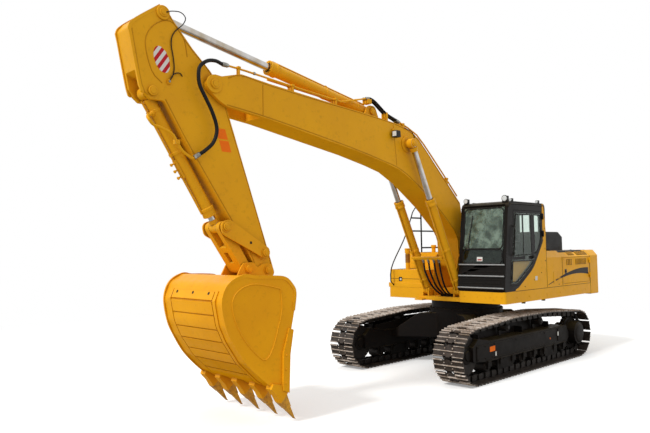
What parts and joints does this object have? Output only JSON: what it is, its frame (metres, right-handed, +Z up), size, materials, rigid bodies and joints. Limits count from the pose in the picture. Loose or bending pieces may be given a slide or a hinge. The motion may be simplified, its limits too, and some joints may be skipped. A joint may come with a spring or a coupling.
{
  "type": "crawler excavator",
  "caption": "Tracked hydraulic excavator with a swinging house, cab, boom, arm and digging bucket, used to dig and load earth.",
  "frame": {"origin": "on the ground, at the middle of the whole machine's footprint box", "axes": "+X forward along the tracks and the boom, +Y to the machine's left (the cab side), +Z up"},
  "size_m": [11.0792, 3.08, 5.5969],
  "materials": {
    "yellow_paint": "gloss enamel",
    "black_paint": "semi-gloss enamel",
    "track_steel": "worn",
    "dark_steel": "painted and oily",
    "chrome": "polished",
    "glass": "tinted",
    "rubber": "satin",
    "seat_fabric": "woven"
  },
  "bodies": {
    "undercarriage": {"centre_frame": "black_paint", "swing_ring": "dark_steel", "track_frame_left": "black_paint", "track_frame_right": "black_paint", "track_left": "track_steel", "track_right": "track_steel", "idler_left": "dark_steel", "idler_right": "dark_steel", "sprocket_left": "dark_steel", "sprocket_right": "dark_steel"},
    "house": {"cab_fairing": "yellow_paint", "cab_shell": "black_paint", "counterweight": "yellow_paint", "cylinder_hoses": "rubber", "deck": "yellow_paint", "engine_block": "dark_steel", "fuel_tank": "yellow_paint", "handrail": "black_paint", "housing_frame": "yellow_paint", "oil_filler": "yellow_paint", "rear_glass": "glass", "right_glass": "glass", "seat": "seat_fabric", "seat_stand": "dark_steel", "tool_box": "yellow_paint", "windscreen": "glass"},
    "engine_hood": {"engine_hood": "black_paint"},
    "left_door": {"left_door": "yellow_paint"},
    "right_door": {"right_door": "yellow_paint"},
    "cab_door": {"cab_door": "black_paint", "door_glass": "glass"},
    "boom": {"boom": "yellow_paint", "boom_hoses": "rubber", "arm_hose": "rubber"},
    "arm": {"arm": "yellow_paint"},
    "bucket": {"bucket": "yellow_paint"},
    "rocker": {"rocker": "yellow_paint"},
    "bucket_link": {"bucket_link": "yellow_paint"},
    "boom_cylinder_left": {"boom_cylinder_left": "yellow_paint"},
    "boom_cylinder_right": {"boom_cylinder_right": "yellow_paint"},
    "boom_rod_left": {"boom_rod_left": "chrome"},
    "boom_rod_right": {"boom_rod_right": "chrome"},
    "arm_cylinder": {"arm_cylinder": "yellow_paint"},
    "arm_rod": {"arm_rod": "chrome"},
    "bucket_cylinder": {"bucket_cylinder": "yellow_paint"},
    "bucket_rod": {"bucket_rod": "chrome"}
  },
  "joints": [
    {"name": "swing", "type": "hinge", "parent": "undercarriage", "child": "house", "pos_m": [-2.09962, 0, 1.3], "axis": [0, 0, 1], "continuous": true},
    {"name": "engine_hood_lift", "type": "hinge", "parent": "house", "child": "engine_hood", "pos_m": [-3.44962, 0, 2.262], "axis": [0, 1, 0], "range_deg": [0, 65]},
    {"name": "left_door_swing", "type": "hinge", "parent": "house", "child": "left_door", "pos_m": [-4.73362, 1.51, 1.8], "axis": [0, 0, 1], "range_deg": [0, 100]},
    {"name": "right_door_swing", "type": "hinge", "parent": "house", "child": "right_door", "pos_m": [-4.73362, -1.51, 1.8], "axis": [0, 0, -1], "range_deg": [0, 100]},
    {"name": "cab_door_swing", "type": "hinge", "parent": "house", "child": "cab_door", "pos_m": [-2.60362, 1.51, 2.3], "axis": [0, 0, 1], "range_deg": [0, 165]},
    {"name": "boom_lift", "type": "hinge", "parent": "house", "child": "boom", "pos_m": [-1.64962, 0, 2.08], "axis": [0, -1, 0], "range_deg": [-62, 36]},
    {"name": "arm_swing", "type": "hinge", "parent": "boom", "child": "arm", "pos_m": [4.31838, 0, 4.665], "axis": [0, 1, 0], "range_deg": [-108, 8], "deforming": ["arm_hose"]},
    {"name": "bucket_curl", "type": "hinge", "parent": "arm", "child": "bucket", "pos_m": [3.37038, 0, 2.07], "axis": [0, 1, 0], "range_deg": [-5, 145]},
    {"name": "rocker_swing", "type": "hinge", "parent": "arm", "child": "rocker", "pos_m": [3.43638, 0, 2.323], "axis": [0, 1, 0], "range_deg": [-3.24, 93.99]},
    {"name": "bucket_link_swing", "type": "hinge", "parent": "rocker", "child": "bucket_link", "pos_m": [4.12438, 0, 2.694], "axis": [0, 1, 0], "range_deg": [-18.49, 0.64]},
    {"name": "arm_cylinder_tilt", "type": "hinge", "parent": "boom", "child": "arm_cylinder", "pos_m": [0.91038, 0, 4.785], "axis": [0, 1, 0], "range_deg": [-2.5, 0.19]},
    {"name": "arm_rod_slide", "type": "slide", "parent": "arm_cylinder", "child": "arm_rod", "axis": [0.9857, 0, 0.1685], "range_m": [-1.8431, 0.1365]},
    {"name": "bucket_cylinder_tilt", "type": "hinge", "parent": "arm", "child": "bucket_cylinder", "pos_m": [5.22238, 0, 4.432], "axis": [0, 1, 0], "range_deg": [-5.24, 0.18]},
    {"name": "bucket_rod_slide", "type": "slide", "parent": "bucket_cylinder", "child": "bucket_rod", "axis": [-0.5341, 0, -0.8454], "range_m": [-0.0388, 1.1247]},
    {"name": "boom_cylinder_left_tilt", "type": "hinge", "parent": "house", "child": "boom_cylinder_left", "pos_m": [-1.29962, 0.376, 1.5], "axis": [0, -1, 0], "range_deg": [-58.56, 34]},
    {"name": "boom_rod_left_slide", "type": "slide", "parent": "boom_cylinder_left", "child": "boom_rod_left", "axis": [0.4476, 0, 0.8942], "range_m": [-0.6486, 0.3766]},
    {"name": "boom_cylinder_right_tilt", "type": "hinge", "parent": "house", "child": "boom_cylinder_right", "pos_m": [-1.29962, -0.376, 1.5], "axis": [0, -1, 0], "range_deg": [-58.56, 34], "deforming": ["cylinder_hoses"]},
    {"name": "boom_rod_right_slide", "type": "slide", "parent": "boom_cylinder_right", "child": "boom_rod_right", "axis": [0.4476, 0, 0.8942], "range_m": [-0.6486, 0.3766]}
  ],
  "couplings": [
    {"joint": "rocker_swing", "follows": "bucket_curl", "ratio": 0.6355},
    {"joint": "bucket_link_swing", "follows": "bucket_curl", "ratio": -0.125},
    {"joint": "arm_cylinder_tilt", "follows": "arm_swing", "ratio": 0.0227},
    {"joint": "arm_rod_slide", "follows": "arm_swing", "m_per_rad": 0.9586},
    {"joint": "bucket_cylinder_tilt", "follows": "bucket_curl", "ratio": -0.0354},
    {"joint": "bucket_rod_slide", "follows": "bucket_curl", "m_per_rad": 0.4357},
    {"joint": "boom_cylinder_left_tilt", "follows": "boom_lift", "ratio": 0.926},
    {"joint": "boom_rod_left_slide", "follows": "boom_lift", "m_per_rad": 0.5876},
    {"joint": "boom_cylinder_right_tilt", "follows": "boom_lift", "ratio": 0.926},
    {"joint": "boom_rod_right_slide", "follows": "boom_lift", "m_per_rad": 0.5876}
  ]
}
